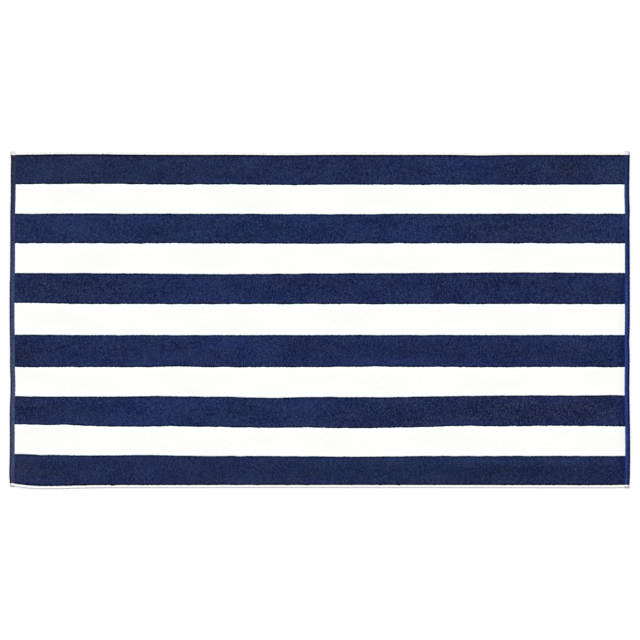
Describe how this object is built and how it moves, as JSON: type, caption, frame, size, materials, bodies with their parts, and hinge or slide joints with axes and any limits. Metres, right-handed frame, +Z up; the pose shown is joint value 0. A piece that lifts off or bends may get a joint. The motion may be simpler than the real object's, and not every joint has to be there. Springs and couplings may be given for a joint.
{
  "type": "beach towel",
  "caption": "Beach towel laid out flat: sheared cotton pile in lengthwise navy and white stripes, flat-woven navy end hems and narrow white side hems.",
  "frame": {"origin": "middle of the flat underside, on the ground the towel lies on", "axes": "+X along the towel, +Y across it, +Z up out of its face"},
  "size_m": [1.6533, 0.8982, 0.0042],
  "materials": {
    "navy_cotton": "matt, sheared cotton pile",
    "white_cotton": "matt, sheared cotton pile"
  },
  "bodies": {
    "root": {"towel": "navy_cotton"}
  },
  "joints": []
}
